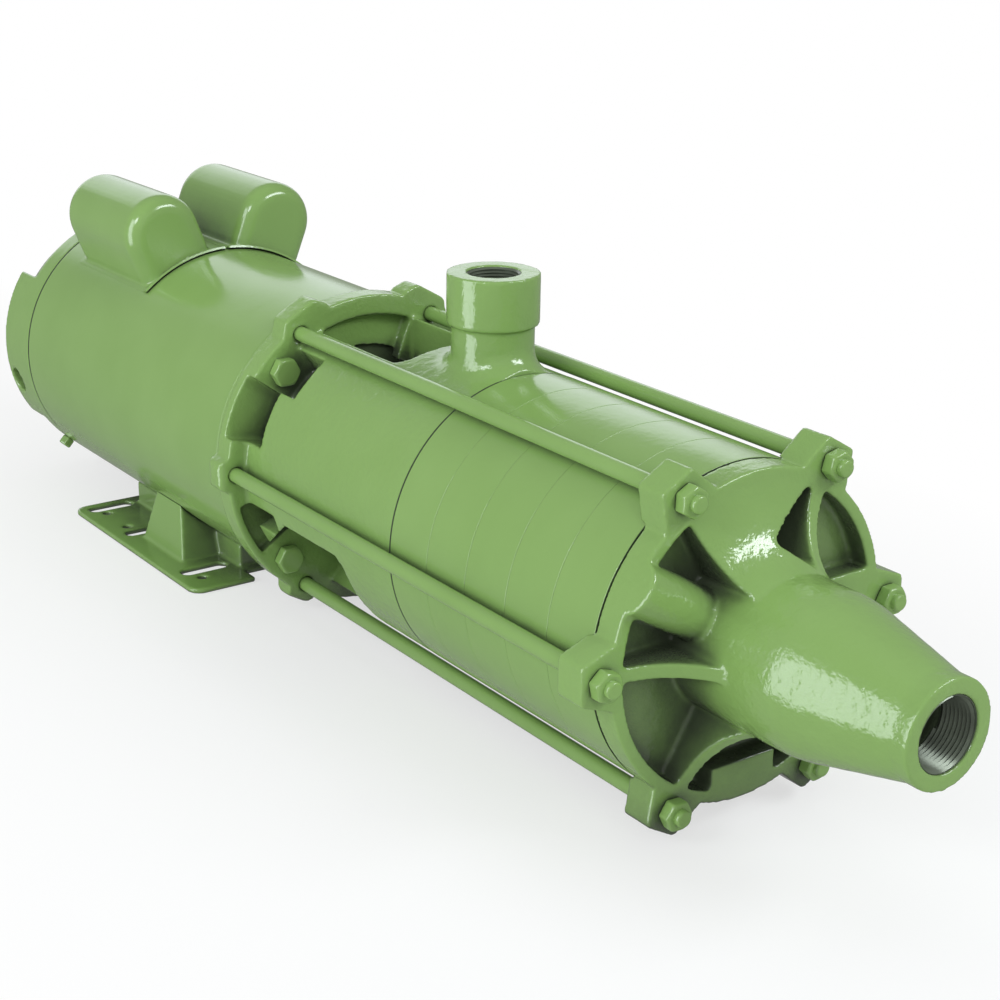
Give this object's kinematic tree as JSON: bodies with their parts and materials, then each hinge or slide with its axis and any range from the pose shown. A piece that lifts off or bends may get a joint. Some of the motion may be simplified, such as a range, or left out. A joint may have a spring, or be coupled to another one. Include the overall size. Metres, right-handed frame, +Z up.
{
  "type": "horizontal multistage pump",
  "caption": "Horizontal multistage centrifugal pump: ring-section pump held by tie rods, flanged to a foot-mounted single-phase motor with capacitor covers on top.",
  "frame": {"origin": "on the underside of the foot, midway between the front and rear foot slots, straight below the pump axis", "axes": "+X along the pump axis from the motor towards the suction nozzle, +Z up, +Y to the left when looking along +X"},
  "size_m": [0.7408, 0.184, 0.2111],
  "materials": {
    "green_steel": "glossy light green enamel on pressed steel",
    "green_castings": "glossy light green enamel on cast iron",
    "green_aluminium": "glossy light green enamel on die-cast aluminium",
    "green_fasteners": "steel fasteners under the same enamel",
    "shaft_steel": "ground steel",
    "lamination_steel": "stacked electrical steel sheets",
    "winding_copper": "varnished copper wire",
    "cage_aluminium": "cast aluminium",
    "impeller_brass": "cast brass",
    "guide_plastic": "glass-filled black plastic",
    "board_plastic": "brown insulating board",
    "capacitor_plastic": "black moulded case",
    "seal_ceramic": "white ceramic",
    "black_rubber": "black rubber"
  },
  "bodies": {
    "pump_body": {"capacitor_cover_left": "green_steel", "capacitor_cover_right": "green_steel", "capacitor_cover_screws": "green_fasteners", "capacitor_left": "capacitor_plastic", "capacitor_right": "capacitor_plastic", "diffuser_1": "guide_plastic", "diffuser_2": "guide_plastic", "diffuser_3": "guide_plastic", "diffuser_4": "guide_plastic", "diffuser_5": "guide_plastic", "discharge_casing": "green_castings", "earth_screw": "green_fasteners", "flange_bolts": "green_fasteners", "foot_base": "green_steel", "front_bearing_outer": "shaft_steel", "front_end_shield": "green_aluminium", "guide_bush": "impeller_brass", "motor_shell": "green_steel", "motor_through_bolts": "green_fasteners", "rear_bearing_outer": "shaft_steel", "rear_end_shield": "green_aluminium", "seal_seat": "seal_ceramic", "stage_casing_1": "green_castings", "stage_casing_2": "green_castings", "stage_casing_3": "green_castings", "stage_casing_4": "green_castings", "stage_casing_5": "green_castings", "starting_switch": "board_plastic", "stator_core": "lamination_steel", "stator_winding": "winding_copper", "suction_casing": "green_castings", "terminal_cover": "green_steel", "terminal_cover_screws": "green_fasteners", "tie_rod_nuts": "green_fasteners", "tie_rods": "green_fasteners"},
    "rotor": {"motor_shaft": "shaft_steel", "rotor_core": "lamination_steel", "rotor_cage": "cage_aluminium", "front_bearing_inner": "shaft_steel", "rear_bearing_inner": "shaft_steel", "governor_plate": "shaft_steel", "governor_pins": "shaft_steel", "coupling_sleeve": "shaft_steel", "coupling_screws": "shaft_steel", "slinger": "black_rubber", "pump_shaft": "shaft_steel", "impeller_key": "shaft_steel", "impeller_nut": "shaft_steel", "seal_head": "shaft_steel", "seal_bellows": "black_rubber", "impeller_1": "impeller_brass", "impeller_2": "impeller_brass", "impeller_3": "impeller_brass", "impeller_4": "impeller_brass", "impeller_5": "impeller_brass"},
    "switch_sleeve": {"governor_sleeve": "guide_plastic"},
    "weight_upper": {"governor_weight_upper": "shaft_steel"},
    "weight_lower": {"governor_weight_lower": "shaft_steel"}
  },
  "joints": [
    {"name": "shaft_spin", "type": "hinge", "parent": "pump_body", "child": "rotor", "pos_m": [0, 0, 0.0889], "axis": [1, 0, 0], "continuous": true},
    {"name": "sleeve_slide", "type": "slide", "parent": "rotor", "child": "switch_sleeve", "axis": [1, 0, 0], "range_m": [0, 0.004], "stiffness_N_per_m": 500, "springref_m": -0.002},
    {"name": "upper_weight_swing", "type": "hinge", "parent": "rotor", "child": "weight_upper", "pos_m": [-0.1, 0, 0.1129], "axis": [0, -1, 0], "range_deg": [0, 26]},
    {"name": "lower_weight_swing", "type": "hinge", "parent": "rotor", "child": "weight_lower", "pos_m": [-0.1, 0, 0.0649], "axis": [0, 1, 0], "range_deg": [0, 26]}
  ],
  "couplings": [
    {"joint": "upper_weight_swing", "follows": "sleeve_slide", "rad_per_m": 113.4},
    {"joint": "lower_weight_swing", "follows": "sleeve_slide", "rad_per_m": 113.4}
  ]
}
